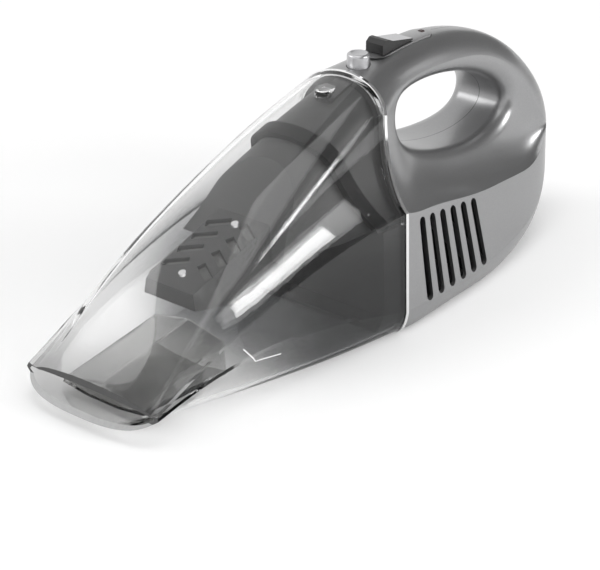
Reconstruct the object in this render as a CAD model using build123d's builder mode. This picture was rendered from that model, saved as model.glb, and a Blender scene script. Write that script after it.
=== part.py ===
from build123d import *
from collections import namedtuple
from math import cos, hypot, radians, sin, tan
import os

os.makedirs("parts", exist_ok=True)

# A cordless handheld vacuum. The nozzle points to -X, the tail to +X, +Z is up.
# The origin is on the ground, midway between the lower lip and the tail.
# All sizes are in millimetres, all angles in degrees.

# Overall sizes
container_length = 176.0
housing_length = 184.0
joint_tilt = 10.5
joint_gap = 0.3
base_sink = 0.3

# Bell-shaped joint section, shared by the container and the housing
base_half = 50.0
wall_half = 58.0
belt_half = 49.5
belt_height = 62.0
shoulder_half = 28.0
shoulder_drop = 17.0
joint_crown = 124.0
corner_pull = 0.3
belt_sink_share = 0.35

# Curve handles of the cross-sections, as shares of the stretch that each curve spans
bell_low_in = 0.55
bell_low_up = 0.2
bell_high_in = 0.91
bell_high_up = 0.69
loop_low_in = 0.9
loop_low_up = 0.08
loop_high_in = 1.0
loop_high_up = 0.42
rim_out = 0.93
rim_up = 0.55
crown_out = 0.57

# Dust container
container_wall = 2.4
tip_spare = 5.0
tip_base_half = 2.0
tip_base_power = 1.7
tip_base_rise = 7.0
tip_lift_share = 0.25
tip_lift_power = 1.3
tip_belt_half = 42.5
tip_belt_height = 6.6
tip_belt_lift = 3.6
tip_belt_share = 0.13
belt_bulge = 11.0
tip_shoulder_half = 38.0
tip_shoulder_share = 0.25
tip_shoulder_fall = 0.6
tip_fall_share = 0.3
tip_crown = 14.5
tip_lead = -0.6
tip_wall_share = 0.92
wall_share = 0.2
tip_corner_share = 0.6
joint_corner_share = 0.96
top_line_start = 1.0
top_line_bulge = 13.0
shoulder_bulge = 3.0
mouth_angle = 59.0
lip_angle = 20.0
mouth_corner_ahead = 166.2
latch_boss_back = 7.0
latch_boss_length = 13.0
latch_boss_width = 9.0
latch_boss_rise = 1.6

# Inlet duct inside the nozzle
duct_wall = 1.6
duct_front_ahead = 158.0
duct_front_half = 27.0
duct_front_eave = 10.4
duct_front_ridge = 17.0
duct_floor_rise = 2.9
duct_toe_share = 0.4
duct_toe_rise = 2.2
duct_eave_share = 0.94
duct_rear_ahead = 97.0
duct_rear_half = 24.0
duct_rear_eave = 22.5
duct_rear_ridge = 27.5

# Housing shells
housing_wall = 2.5
handle_crown = 127.0
handle_half = 18.0
handle_rim_drop = 12.0
tail_height = 52.0
crease_low = 41.0
crease_waist = 0.81
tail_waist = 0.99
tail_reach = 0.996
tail_middle_rise = 5.0
tail_band_half = 0.5
plan_power = 2.2
crest_share = 0.4
lift_share = 0.56
neck_share = 0.3
front_share = 0.25
crease_share = 0.77
turn_share = 0.6
tail_share = 0.925
upright_share = 0.35
tail_base_share = 0.3
tail_wall_share = 0.45
hole_length = 104.0
hole_height = 39.4
hole_tilt = 10.0
hole_back = 89.0
hole_centre_height = 85.5
hole_wall = 4.0
hole_round = 9.0
vent_count = 6
vent_pitch = 10.2
vent_width = 5.4
vent_first_back = 24.5
vent_lean = -3.4
vent_lean_step = 0.5
vent_bottom = 11.0
vent_bottom_rise = 0.1
vent_top = 54.6
vent_top_fall = 1.5

# Trim ring and front bulkhead
trim_width = 2.2
trim_proud = 0.6
trim_depth = 3.2
spigot_length = 13.0
spigot_fit = 0.5
bulkhead_wall = 2.2
bulkhead_depth = 4.0
nose_inset = 6.2
nose_floor = 55.0
seal_tilt = 21.0
seal_back = 24.0
grille_height = 80.0
grille_radius = 17.0
grille_bar = 2.4

# Filter cartridge
filter_inset = 4.2
cup_inset = 8.0
cup_ahead = 108.0
cup_tilt = 38.0
seal_thickness = 6.0
seal_width = 5.0
flange_thickness = 2.6
frame_wall = 2.0
filter_front_ahead = 110.0
filter_front_half = 17.0
filter_front_floor = 41.0
filter_front_top_half = 15.5
filter_front_top = 49.3
filter_flare_ahead = 95.0
filter_flare_half = 28.0
filter_rear_ahead = 41.0
filter_rear_half = 36.0
filter_rear_floor = 52.0
filter_rear_top_half = 17.0
filter_rear_top = 72.5
slot_first = 15.3
slot_rows = 4
slot_height = 4.4
slot_length = 13.0
slot_pitch = 10.3
slot_slant = 30.0
rib_half = 3.0
cloth_thickness = 1.2
cloth_gap = 0.3
peg_radius = 2.4
peg_rise = 1.2
peg_taper = 20.0
front_peg_ahead = 100.5
rear_peg_ahead = 62.0

# Motor, fan and air housing
motor_height = 40.0
motor_radius = 17.5
motor_length = 52.0
can_wall = 1.5
fan_radius = 31.0
fan_depth = 13.0
fan_disc = 1.8
fan_hub_radius = 6.0
blade_count = 9
outlet_count = 8
outlet_width = 9.0
blade_thickness = 1.6
fan_clearance = 1.2
fan_back = 22.0
air_wall = 1.8
air_eye_radius = 15.0
shaft_radius = 1.6
shaft_fit = 0.05
armature_radius = 11.5
armature_length = 26.0
pole_count = 5
magnet_gap = 0.8
commutator_radius = 4.5
commutator_length = 9.0
end_cap_length = 6.0
mount_width = 7.0
mount_back = 12.0
mount_rib_top = 60.0
air_rib_top = 82.0
rib_thickness = 3.0
mount_thickness = 3.0
nut_radius = 3.6
nut_length = 3.5
brush_length = 7.0
brush_width = 4.0

# Battery
cell_radius = 11.0
cell_length = 34.0
cell_gap = 1.4
cradle_plate = 1.8
cradle_rim = 0.6
cradle_fit = 0.3
cradle_bar_radius = 3.5
cell_step = 4.4

# Controls on the handle
button_radius = 6.0
button_back = 33.5
button_rise = 6.4
button_travel = 3.0
button_dish_radius = 14.0
button_dish_depth = 0.7
button_flange = 1.2
button_flange_thickness = 1.2
control_fit = 0.3
plate_front_back = 41.0
plate_rear_back = 90.0
plate_half = 6.5
plate_corner = 5.5
plate_sink = 1.3
plate_rise = 0.8
slider_length = 25.0
slider_half = 5.6
slider_back = 59.0
slider_rise = 6.0
slider_travel = 6.0
stem_back = 59.0
stem_length = 6.0
stem_half = 2.0
switch_length = 20.0
switch_half = 5.5
switch_height = 8.0
switch_drop = 1.2
switch_slot = 2.0
lamp_back = 86.0
lamp_radius = 1.8
lamp_rise = 0.4
board_length = 24.0
board_half = 7.0
board_thickness = 1.6
board_drop = 1.7
board_overhang = 4.0

# Latch tongue
tongue_half = 5.0
tongue_thickness = 1.4
tongue_inset = 4.2
tongue_rear_inset = 7.0
tongue_back = 44.2
hook_length = 4.0
hook_half = 3.0
hook_rise = 1.6

# Charging socket and case screws
socket_radius = 4.5
socket_bore = 2.75
socket_length = 13.0
socket_depth = 10.0
socket_rise = 1.0
screw_shank_radius = 1.4
screw_fit = 0.05
screw_half_length = 8.0
screw_head_radius = 2.8
screw_head_height = 2.2
boss_radius = 4.6
pillar_screw_back = 29.0
pillar_screw_height = 100.0
handle_screw_back = 108.0
handle_screw_height = 112.0
tail_screw_back = 156.0
tail_screw_height = 80.0
base_screw_back = 95.0
base_screw_height = 12.0
head_fit = 0.3

# Derived places
joint_x = (container_length - housing_length) / 2
tip_length = container_length + tip_spare
hole_x = joint_x + hole_back

Section = namedtuple(
    "Section",
    "base base_half corner wall_half wall belt_half belt shoulder_half shoulder crown lead",
)


def blend(start, end, share):
    """Value at a share of the way from start to end."""
    return start + (end - start) * share


def past(share, start, end):
    """How far share lies between start and end, kept within 0 and 1."""
    return min(max((share - start) / (end - start), 0.0), 1.0)


def tilted_plane(x, tilt):
    """Cross-section plane through (x, 0, 0) whose top leans back by tilt."""
    normal = (cos(radians(tilt)), 0, -sin(radians(tilt)))
    return Plane(origin=(x, 0, 0), x_dir=(0, 1, 0), z_dir=normal)


def inset_section(section, depth):
    """The same cross-section moved inwards by a wall of the given depth."""
    base = section.base + depth
    belt = section.belt - belt_sink_share * depth
    wall_part = (section.wall - section.base) / (section.belt - section.base)
    shoulder_part = (section.shoulder - section.belt) / (section.crown - section.belt)
    return Section(
        base,
        section.base_half - depth / 2,
        section.corner - depth,
        section.wall_half - depth,
        blend(base, belt, wall_part),
        section.belt_half - depth,
        belt,
        section.shoulder_half - depth,
        blend(belt, section.crown - depth, shoulder_part),
        section.crown - depth,
        section.lead,
    )


def half_points(section):
    """Key points and curve handles of the right half of a cross-section, from base to crown."""
    rise = section.shoulder - section.belt
    reach = section.shoulder_half - section.belt_half
    low_handle = (
        section.belt_half + reach * blend(bell_low_in, loop_low_in, section.lead),
        section.belt + rise * blend(bell_low_up, loop_low_up, section.lead),
    )
    high_handle = (
        section.belt_half + reach * blend(bell_high_in, loop_high_in, section.lead),
        section.belt + rise * blend(bell_high_up, loop_high_up, section.lead),
    )
    shoulder = (section.shoulder_half, section.shoulder)
    rim_handle = (rim_out * section.shoulder_half, blend(section.shoulder, section.crown, rim_up))
    top_handle = (crown_out * section.shoulder_half, section.crown)
    return low_handle, high_handle, shoulder, rim_handle, top_handle


def section_sketch(plane, section, whole):
    """Face of a cross-section on its plane: the whole outline or its right half."""
    low_handle, high_handle, shoulder, rim_handle, top_handle = half_points(section)
    corner = (section.base_half, section.base)
    wall = (section.wall_half, section.wall)
    belt = (section.belt_half, section.belt)
    with BuildSketch(plane) as sketch:
        with BuildLine():
            Line((0, section.base), corner)
            Bezier(corner, (section.corner, section.base), wall)
            Line(wall, belt)
            Bezier(belt, low_handle, high_handle, shoulder)
            Bezier(shoulder, rim_handle, top_handle, (0, section.crown))
            if whole:
                mirror(about=Plane.YZ)
            else:
                Line((0, section.crown), (0, section.base))
        make_face()
    return sketch.sketch


def skin_form(stations, whole):
    """Solid lofted through (plane, section) stations."""
    with BuildPart() as form:
        loft([section_sketch(plane, section, whole) for plane, section in stations])
    return form.part


def crown_at(x, plane_at, section_at):
    """Height of a skin's top line at x."""
    low = 0.0
    high = 1.0
    for step in range(40):
        share = (low + high) / 2
        top = plane_at(share).from_local_coords(Vector(0, section_at(share).crown, 0))
        if top.X < x:
            low = share
        else:
            high = share
    return top.Z


def at(back):
    """X of a place the given distance behind the foot of the joint plane."""
    return joint_x + back


# Dust container skin

def container_section(share):
    """Container cross-section from the tip plane (0) to the joint (1)."""
    belt_lift = tip_belt_lift * (1 - past(share, 0.0, tip_belt_share)) ** 2
    belt_line = blend(tip_belt_height, belt_height, share) + belt_lift
    belt = belt_line + 4 * belt_bulge * share * (1 - share)
    base = tip_base_rise * (1 - past(share, 0.0, tip_lift_share)) ** tip_lift_power - base_sink
    line = blend(top_line_start, joint_crown, share) + 4 * top_line_bulge * share * (1 - share)
    crown = max(line, tip_crown)
    drop = blend(tip_shoulder_share, shoulder_drop / (joint_crown - belt_height), share)
    drop = drop + tip_shoulder_fall * (1 - past(share, 0.0, tip_fall_share)) ** 2
    bulge = 4 * shoulder_bulge * share * (1 - share)
    belt_at = blend(tip_belt_half, belt_half, share)
    base_at = base_half - (base_half - tip_base_half) * (1 - share) ** tip_base_power
    wall_at = belt_at + (wall_half - belt_half) * share
    return Section(
        base,
        base_at,
        blend(base_at, wall_at, blend(tip_corner_share, joint_corner_share, share**4)),
        wall_at,
        blend(base, belt, blend(tip_wall_share, wall_share, share)),
        belt_at,
        belt,
        blend(tip_shoulder_half, shoulder_half, share) + bulge,
        crown - drop * (crown - belt_line),
        crown,
        tip_lead * (1 - share),
    )


def container_plane(share):
    """Plane of a container cross-section, leaning more towards the joint."""
    return tilted_plane(joint_x - tip_length * (1 - share), joint_tilt * share)


container_shares = (0.0, 0.05, 0.13, 0.35, 0.6, 0.8, 0.92, 1.0)
rear_shares = container_shares[3:]


def container_form(depth, shares):
    """Solid inside the container's skin, at a depth below its outer face."""
    stations = [(container_plane(s), inset_section(container_section(s), depth)) for s in shares]
    return skin_form(stations, True)


# Housing skin

def plan_half(share):
    """Half width of the housing in plan, a rounded outline that closes at the tail."""
    return wall_half * (1 - (tail_reach * share) ** plan_power) ** (1 / plan_power)


def housing_section(share):
    """Housing cross-section from the joint (0) to the tail (1)."""
    rise = past(share, 0.0, crest_share)
    swing = past(share, crest_share, 1.0) * tail_reach
    if swing == 0:
        crown = blend(joint_crown, handle_crown, rise)
    else:
        crown = tail_height + (handle_crown - tail_height) * (1 - swing**2) ** 0.5
    lift = past(share, lift_share, 1.0) * tail_reach
    base = tail_height * (1 - (1 - lift**2) ** 0.5) - base_sink
    wall_at = plan_half(share)
    front = 1 - past(share, 0.0, front_share)
    turn = past(share, turn_share, tail_share)
    waist = crease_waist + (belt_half / wall_half - crease_waist) * front**2
    waist = waist + (tail_waist - crease_waist) * turn**2
    middle = tail_height + tail_middle_rise * (1 - past(share, tail_share, 1.0))
    falling = (belt_height - crease_low) * (1 - past(share, 0.0, crease_share)) ** 1.3
    rising = (middle - tail_band_half - crease_low) * past(share, crease_share, tail_share) ** 2
    belt = crease_low + falling + rising
    neck = 1 - past(share, 0.0, neck_share)
    spread = past(share, neck_share, tail_share)
    tail_half = plan_half(tail_share) * tail_waist
    shoulder_at = handle_half + (shoulder_half - handle_half) * neck**2
    shoulder_at = shoulder_at + (tail_half - handle_half) * spread**5
    drop = handle_rim_drop + (shoulder_drop - handle_rim_drop) * neck**2
    shoulder = blend(crown - drop, middle + tail_band_half, turn**4)
    if share > tail_share:
        shoulder_at = wall_at * waist
    return Section(
        base,
        wall_at * blend(base_half / wall_half, tail_base_share, past(share, 0.5, 1.0)),
        wall_at - corner_pull,
        wall_at,
        blend(base, belt, blend(wall_share, tail_wall_share, past(share, neck_share, 1.0))),
        wall_at * waist,
        belt,
        shoulder_at,
        shoulder,
        crown,
        past(share, 0.0, upright_share),
    )


housing_shares = (0.0, 0.2, 0.38, 0.54, 0.67, 0.77, 0.85, 0.9, 0.94, 0.975, 1.0)


def housing_plane(share):
    """Plane of a housing cross-section, leaning less towards the tail."""
    run = trim_width * (1 - share) + housing_length * share
    return tilted_plane(joint_x + run, joint_tilt * (1 - past(share, 0.0, upright_share)))


def housing_half(depth):
    """Right half of the housing, at a depth below its outer face."""
    stations = [(housing_plane(s), inset_section(housing_section(s), depth)) for s in housing_shares]
    return skin_form(stations, False)


def housing_form(depth):
    """Both halves of the housing, at a depth below its outer face."""
    half = housing_half(depth)
    with BuildPart() as form:
        add(half)
        mirror(half, about=Plane.XZ)
    return form.part


# Planes that several pieces share
joint_plane = tilted_plane(joint_x, joint_tilt)
joint_section = container_section(1.0)
trim_run = trim_width * cos(radians(joint_tilt))
seal_plane = tilted_plane(at(seal_back), -seal_tilt)
flange_rear_plane = seal_plane.offset(-seal_thickness)
flange_front_plane = flange_rear_plane.offset(-flange_thickness)
cup_plane = tilted_plane(at(-cup_ahead), cup_tilt)
lip_height = container_section(tip_spare / tip_length).base
corner_height = lip_height + (container_length - mouth_corner_ahead) / tan(radians(mouth_angle))


def cartridge_form(depth, floor, front_plane, rear_plane):
    """Slice of the container's inner space between two planes and above a floor."""
    with BuildPart() as form:
        add(container_form(depth, rear_shares))
        split(bisect_by=front_plane, keep=Keep.TOP)
        split(bisect_by=rear_plane, keep=Keep.BOTTOM)
        split(bisect_by=Plane.XY.offset(floor), keep=Keep.TOP)
    return form.part


# Mouth: a steep cut behind the upper lip and a flatter one along the lower lip, which meet at the corners
def mouth_plane(height, angle):
    """Plane through the mouth's corners or lip, whose top leans back by an angle."""
    lip_run = (corner_height - height) * tan(radians(mouth_angle))
    normal = (cos(radians(angle)), 0, -sin(radians(angle)))
    return Plane(origin=(at(-mouth_corner_ahead) - lip_run, 0, height), x_dir=(0, 1, 0), z_dir=normal)


with BuildPart() as mouth_cut:
    with Locations((at(-mouth_corner_ahead), 0, corner_height)):
        Box(container_length / 2, 4 * tip_belt_half, container_length / 2)
    split(bisect_by=mouth_plane(lip_height, mouth_angle), keep=Keep.BOTTOM)
    split(bisect_by=mouth_plane(corner_height, lip_angle), keep=Keep.BOTTOM)

# Dust container with a raised oval boss over the latch pocket
boss_x = at(latch_boss_back)
boss_height = crown_at(boss_x, container_plane, container_section)
hook_top = boss_height - container_wall + hook_rise

with BuildPart() as dust_container:
    add(container_form(0.0, container_shares))
    with BuildSketch(Plane.XY.offset(boss_height - latch_boss_length / 4)):
        with Locations((boss_x, 0)):
            Ellipse(latch_boss_length / 2, latch_boss_width / 2)
    extrude(amount=latch_boss_length / 4 + latch_boss_rise)
    add(container_form(container_wall, container_shares), mode=Mode.SUBTRACT)
    with Locations((boss_x, 0, hook_top + joint_gap)):
        Box(
            hook_length + 4 * joint_gap,
            2 * hook_half + 4 * joint_gap,
            2 * hook_rise,
            align=(Align.CENTER, Align.CENTER, Align.MAX),
            mode=Mode.SUBTRACT,
        )
    split(bisect_by=joint_plane.offset(-joint_gap), keep=Keep.BOTTOM)
    add(mouth_cut.part, mode=Mode.SUBTRACT)
    split(bisect_by=Plane.XY, keep=Keep.TOP)
dust_container.part.label = "dust_container"
export_step(dust_container.part, "parts/dust_container.step")


# Inlet duct: a gabled channel from the mouth into the container
def duct_sketch(x, half, floor, eave, ridge):
    """Gabled duct section at x, with its lower corners cut off."""
    with BuildSketch(Plane.YZ.offset(x)) as sketch:
        with BuildLine():
            Polyline(
                (0, floor),
                (duct_toe_share * half, floor),
                (half, floor + duct_toe_rise),
                (duct_eave_share * half, eave),
                (0, ridge),
            )
            mirror(about=Plane.YZ)
        make_face()
    return sketch.sketch


duct_front_x = at(-duct_front_ahead)
duct_rear_x = at(-duct_rear_ahead)
duct_floor = container_wall + joint_gap
duct_front_floor = duct_floor + duct_floor_rise

with BuildPart() as inlet_duct:
    loft([
        duct_sketch(duct_front_x, duct_front_half, duct_front_floor, duct_front_eave, duct_front_ridge),
        duct_sketch(duct_rear_x, duct_rear_half, duct_floor, duct_rear_eave, duct_rear_ridge),
    ])
    loft([
        duct_sketch(
            duct_front_x,
            duct_front_half - duct_wall,
            duct_front_floor + duct_wall,
            duct_front_eave - duct_wall / 2,
            duct_front_ridge - duct_wall,
        ),
        duct_sketch(
            duct_rear_x,
            duct_rear_half - duct_wall,
            duct_floor + duct_wall,
            duct_rear_eave - duct_wall / 2,
            duct_rear_ridge - duct_wall,
        ),
    ], mode=Mode.SUBTRACT)
inlet_duct.part.label = "inlet_duct"
export_step(inlet_duct.part, "parts/inlet_duct.step")

# Bright trim ring between the container and the housing
with BuildPart() as trim_ring:
    extrude(section_sketch(joint_plane, inset_section(joint_section, -trim_proud), True), amount=trim_run)
    extrude(
        section_sketch(joint_plane, inset_section(joint_section, trim_depth), True),
        amount=trim_run,
        mode=Mode.SUBTRACT,
    )
    split(bisect_by=Plane.XY, keep=Keep.TOP)
trim_ring.part.label = "trim_ring"
export_step(trim_ring.part, "parts/trim_ring.step")

# Front bulkhead: a collar inside the container, a nose for the filter and a grille
collar_depth = max(container_wall + spigot_fit, trim_depth + joint_gap)
tongue_floor = tongue_inset + tongue_thickness + spigot_fit

with BuildPart() as front_bulkhead:
    add(container_form(collar_depth, rear_shares))
    split(bisect_by=joint_plane.offset(-spigot_length), keep=Keep.TOP)
    split(bisect_by=Plane.XY.offset(nose_floor - 2 * joint_gap), keep=Keep.BOTTOM)
    add(container_form(collar_depth + bulkhead_wall, rear_shares), mode=Mode.SUBTRACT)
    plate_sketch = section_sketch(joint_plane, inset_section(joint_section, collar_depth), True)
    extrude(plate_sketch, amount=bulkhead_depth)
    add(cartridge_form(nose_inset, nose_floor, seal_plane.offset(joint_gap), joint_plane))
    add(
        cartridge_form(nose_inset + bulkhead_wall, nose_floor + bulkhead_wall, seal_plane, joint_plane),
        mode=Mode.SUBTRACT,
    )
    with BuildSketch(joint_plane):
        with Locations((0, grille_height)):
            Circle(grille_radius)
            Rectangle(2 * grille_radius, grille_bar, mode=Mode.SUBTRACT)
            Rectangle(grille_bar, 2 * grille_radius, mode=Mode.SUBTRACT)
    extrude(amount=bulkhead_depth, mode=Mode.SUBTRACT)
    with BuildSketch(joint_plane):
        with Locations((0, joint_crown - tongue_floor)):
            Rectangle(2 * (tongue_half + spigot_fit), joint_crown, align=(Align.CENTER, Align.MIN))
    extrude(amount=bulkhead_depth, mode=Mode.SUBTRACT)
front_bulkhead.part.label = "front_bulkhead"
export_step(front_bulkhead.part, "parts/front_bulkhead.step")


# Filter cartridge: rubber seal, slotted frame and the cloth that lines it
def wedge_form(depth, rear_back):
    """Wedge of the filter frame, at a depth inside its outer faces."""
    front = (filter_front_half, filter_front_floor, filter_front_top_half, filter_front_top)
    rear = (filter_rear_half, filter_rear_floor, filter_rear_top_half, filter_rear_top)
    share = (filter_front_ahead - filter_flare_ahead) / (filter_front_ahead - filter_rear_ahead)
    flare = [blend(low, high, share) for low, high in zip(front, rear)]
    flare[0] = filter_flare_half
    sections = []
    for back, section in ((depth - filter_front_ahead, front), (-filter_flare_ahead, flare), (rear_back, rear)):
        half, floor, top_half, top = section
        run = half - top_half
        rise = top - floor
        slant = hypot(run, rise)
        with BuildSketch(Plane.YZ.offset(at(back))) as sketch:
            with BuildLine():
                Polyline(
                    (0, floor + depth),
                    (half - depth * (slant + run) / rise, floor + depth),
                    (top_half - depth * (slant - run) / rise, top - depth),
                    (0, top - depth),
                )
                mirror(about=Plane.YZ)
            make_face()
        sections.append(sketch.sketch)
    with BuildPart() as form:
        loft(sections, ruled=True)
    return form.part


with BuildPart() as filter_seal:
    add(cartridge_form(filter_inset, nose_floor, flange_rear_plane, seal_plane))
    add(
        cartridge_form(filter_inset + seal_width, nose_floor + seal_width, flange_rear_plane, seal_plane),
        mode=Mode.SUBTRACT,
    )
filter_seal.part.label = "filter_seal"
export_step(filter_seal.part, "parts/filter_seal.step")

top_slope = (filter_rear_top - filter_front_top) / (filter_front_ahead - filter_rear_ahead)
with BuildPart() as filter_frame:
    add(cartridge_form(filter_inset, nose_floor, flange_front_plane, flange_rear_plane))
    add(cartridge_form(cup_inset, nose_floor, cup_plane, flange_rear_plane))
    add(wedge_form(0.0, -filter_rear_ahead))
    cup_space = cartridge_form(
        cup_inset + frame_wall,
        nose_floor + frame_wall,
        cup_plane.offset(frame_wall),
        flange_rear_plane,
    )
    add(cup_space, mode=Mode.SUBTRACT)
    add(wedge_form(frame_wall, -filter_rear_ahead), mode=Mode.SUBTRACT)
    for row in range(slot_rows):
        slot_run_back = slot_first + row * slot_pitch
        slot_place = Vector(at(-filter_front_ahead + slot_run_back), 0, filter_front_top + top_slope * slot_run_back)
        for side in (-1, 1):
            slot_middle = slot_place + Vector(0, side * (rib_half + slot_length / 2), 0)
            with Locations(Location(slot_middle, (0, 0, side * slot_slant))):
                Box(slot_height, slot_length, 4 * frame_wall, mode=Mode.SUBTRACT)
filter_frame.part.label = "filter_frame"
export_step(filter_frame.part, "parts/filter_frame.step")

with BuildPart() as filter_pegs:
    for ahead in (front_peg_ahead, rear_peg_ahead):
        seat_height = filter_front_top + top_slope * (filter_front_ahead - ahead)
        seat = Plane(origin=(at(-ahead), 0, seat_height), x_dir=(0, 1, 0), z_dir=(-top_slope, 0, 1))
        with BuildSketch(seat):
            Circle(peg_radius)
        extrude(amount=peg_rise, taper=peg_taper)
filter_pegs.part.label = "filter_pegs"
export_step(filter_pegs.part, "parts/filter_pegs.step")

cloth_depth = frame_wall + cloth_gap
with BuildPart() as filter_cloth:
    add(wedge_form(cloth_depth, -filter_rear_ahead - cloth_gap))
    add(wedge_form(cloth_depth + cloth_thickness, -filter_rear_ahead - cloth_gap), mode=Mode.SUBTRACT)
filter_cloth.part.label = "filter_cloth"
export_step(filter_cloth.part, "parts/filter_cloth.step")

# Places inside the housing, worked out from the joint and the motor line
fan_front_x = at(fan_back) + air_wall + fan_clearance
fan_rear_x = fan_front_x + fan_depth
can_front_x = fan_rear_x + fan_clearance + air_wall
can_rear_x = can_front_x + motor_length
cap_rear_x = can_rear_x + end_cap_length
air_radius = fan_radius + fan_clearance + air_wall
mount_radius = motor_radius + shaft_fit + mount_thickness
mount_x = can_rear_x - mount_back
air_rib_x = (at(fan_back) + can_front_x) / 2
cell_pitch = 2 * cell_radius + cell_gap
first_cell_x = cap_rear_x + cell_gap + cell_radius
first_cell_z = housing_wall + 2 * cradle_fit + cradle_rim + cell_radius
cell_places = (
    (first_cell_x, first_cell_z),
    (first_cell_x, first_cell_z + cell_pitch),
    (first_cell_x + cell_pitch, first_cell_z + cell_step),
    (first_cell_x + cell_pitch, first_cell_z + cell_step + cell_pitch),
    (first_cell_x + 2 * cell_pitch, first_cell_z + cell_step + cell_pitch + cell_step / 2),
)
screw_places = (
    (at(pillar_screw_back), pillar_screw_height),
    (at(handle_screw_back), handle_screw_height),
    (at(tail_screw_back), tail_screw_height),
    (at(base_screw_back), base_screw_height),
)
button_x = at(button_back)
slider_x = at(slider_back)
stem_x = at(stem_back)
slot_middle_x = stem_x - slider_travel / 2
slot_half = stem_half + control_fit
slot_run = stem_length + slider_travel + 2 * control_fit
lamp_x = at(lamp_back)
tongue_rear_x = at(tongue_back)
tongue_joint_x = at(joint_crown * sin(radians(joint_tilt)))


def handle_top(x):
    """Height of the handle's top line at x."""
    return crown_at(x, housing_plane, housing_section)


tongue_rear_top = handle_top(tongue_rear_x) - tongue_rear_inset
tongue_joint_top = joint_crown * cos(radians(joint_tilt)) - tongue_inset
tongue_front_top = crown_at(boss_x - hook_length / 2, container_plane, container_section) - tongue_inset
button_top = handle_top(button_x) + button_rise
button_low = max(tongue_rear_top, tongue_joint_top) + control_fit
plate_middle_x = at((plate_front_back + plate_rear_back) / 2)
plate_length = plate_rear_back - plate_front_back
stem_top = handle_top(stem_x) + slider_rise / 2
switch_top = handle_top(slot_middle_x - switch_length / 2) - housing_wall - switch_drop
switch_low = switch_top - switch_height
tail_x = at(housing_length)
socket_height = tail_height + socket_rise


# Housing halves: moulded shells with a loop handle, vents, ribs and screw bosses
def plate_prism(clearance):
    """Upright prism over the outline of the switch plate."""
    with BuildPart() as prism:
        with BuildSketch(Plane.XY.offset(hole_centre_height + hole_height)):
            with Locations((plate_middle_x, 0)):
                RectangleRounded(plate_length + 2 * clearance, 2 * (plate_half + clearance), plate_corner)
        extrude(amount=hole_height)
    return prism.part


def finger_hole(clearance):
    """Right half of the oval prism of the finger hole, grown by a clearance."""
    with BuildPart() as prism:
        with BuildSketch(Plane.XZ):
            with Locations((hole_x, hole_centre_height)):
                Ellipse(hole_length / 2 + clearance, hole_height / 2 + clearance, rotation=-hole_tilt)
        extrude(amount=-2 * wall_half)
    return prism.part


with BuildPart() as housing_cavity:
    add(housing_half(housing_wall))
    add(finger_hole(hole_wall), mode=Mode.SUBTRACT)
    with BuildSketch(Plane.XZ):
        with Locations(*screw_places):
            Circle(boss_radius)
    extrude(amount=-2 * wall_half, mode=Mode.SUBTRACT)
    with BuildSketch(Plane.YZ.offset(mount_x - rib_thickness / 2)):
        Rectangle(2 * wall_half, mount_rib_top, align=(Align.MIN, Align.MIN))
        with Locations((0, motor_height)):
            Circle(mount_radius + cradle_fit, mode=Mode.SUBTRACT)
    extrude(amount=rib_thickness, mode=Mode.SUBTRACT)
    with BuildSketch(Plane.YZ.offset(air_rib_x - rib_thickness / 2)):
        Rectangle(2 * wall_half, air_rib_top, align=(Align.MIN, Align.MIN))
        with Locations((0, motor_height)):
            Circle(air_radius + cradle_fit, mode=Mode.SUBTRACT)
    extrude(amount=rib_thickness, mode=Mode.SUBTRACT)
    with Locations((tongue_rear_x, 0, tongue_rear_top)):
        Box(
            rib_thickness,
            2 * wall_half,
            hole_height,
            align=(Align.MAX, Align.MIN, Align.CENTER),
            mode=Mode.SUBTRACT,
        )
    with Locations((tongue_rear_x, 0, tongue_rear_top + control_fit)):
        Box(
            2 * rib_thickness,
            tongue_half + control_fit,
            tongue_thickness + 2 * control_fit,
            align=(Align.MAX, Align.MIN, Align.MAX),
        )

with BuildPart() as outer_half:
    add(housing_half(0.0))
    split(bisect_by=Plane.XY, keep=Keep.TOP)
    add(finger_hole(0.0), mode=Mode.SUBTRACT)
    cut_edges = outer_half.edges(Select.LAST)
    fillet(cut_edges.filter_by(lambda edge: edge.bounding_box().min.Y > hole_round), hole_round)

with BuildPart() as plate_recess:
    add(plate_prism(control_fit / 3))
    add(housing_form(plate_sink), mode=Mode.SUBTRACT)

with BuildPart() as right_blank:
    add(outer_half.part)
    add(housing_cavity.part, mode=Mode.SUBTRACT)
    for number in range(vent_count):
        vent_x = at(vent_first_back) + number * vent_pitch
        low = vent_bottom + number * vent_bottom_rise
        high = vent_top - number * vent_top_fall
        with BuildSketch(Plane.XZ.offset(-wall_half / 2)):
            with Locations((vent_x, (low + high) / 2)):
                SlotOverall(high - low, vent_width, rotation=90 + vent_lean + number * vent_lean_step)
        extrude(amount=-2 * wall_half, mode=Mode.SUBTRACT)
    add(plate_recess.part, mode=Mode.SUBTRACT)
    with Locations((slot_middle_x, 0, handle_top(slot_middle_x))):
        Box(slot_run, 2 * slot_half, 2 * slider_rise, mode=Mode.SUBTRACT)
    with Locations((button_x, 0, button_low)):
        Cylinder(
            button_radius + control_fit,
            button_rise + slider_rise,
            align=(Align.CENTER, Align.CENTER, Align.MIN),
            mode=Mode.SUBTRACT,
        )
    with Locations((lamp_x, 0, handle_top(lamp_x))):
        Cylinder(lamp_radius + control_fit, slider_rise, mode=Mode.SUBTRACT)
    with BuildSketch(Plane.YZ.offset(tail_x)):
        with Locations((0, socket_height)):
            Circle(socket_radius + shaft_fit)
    extrude(amount=-socket_length, mode=Mode.SUBTRACT)

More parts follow.
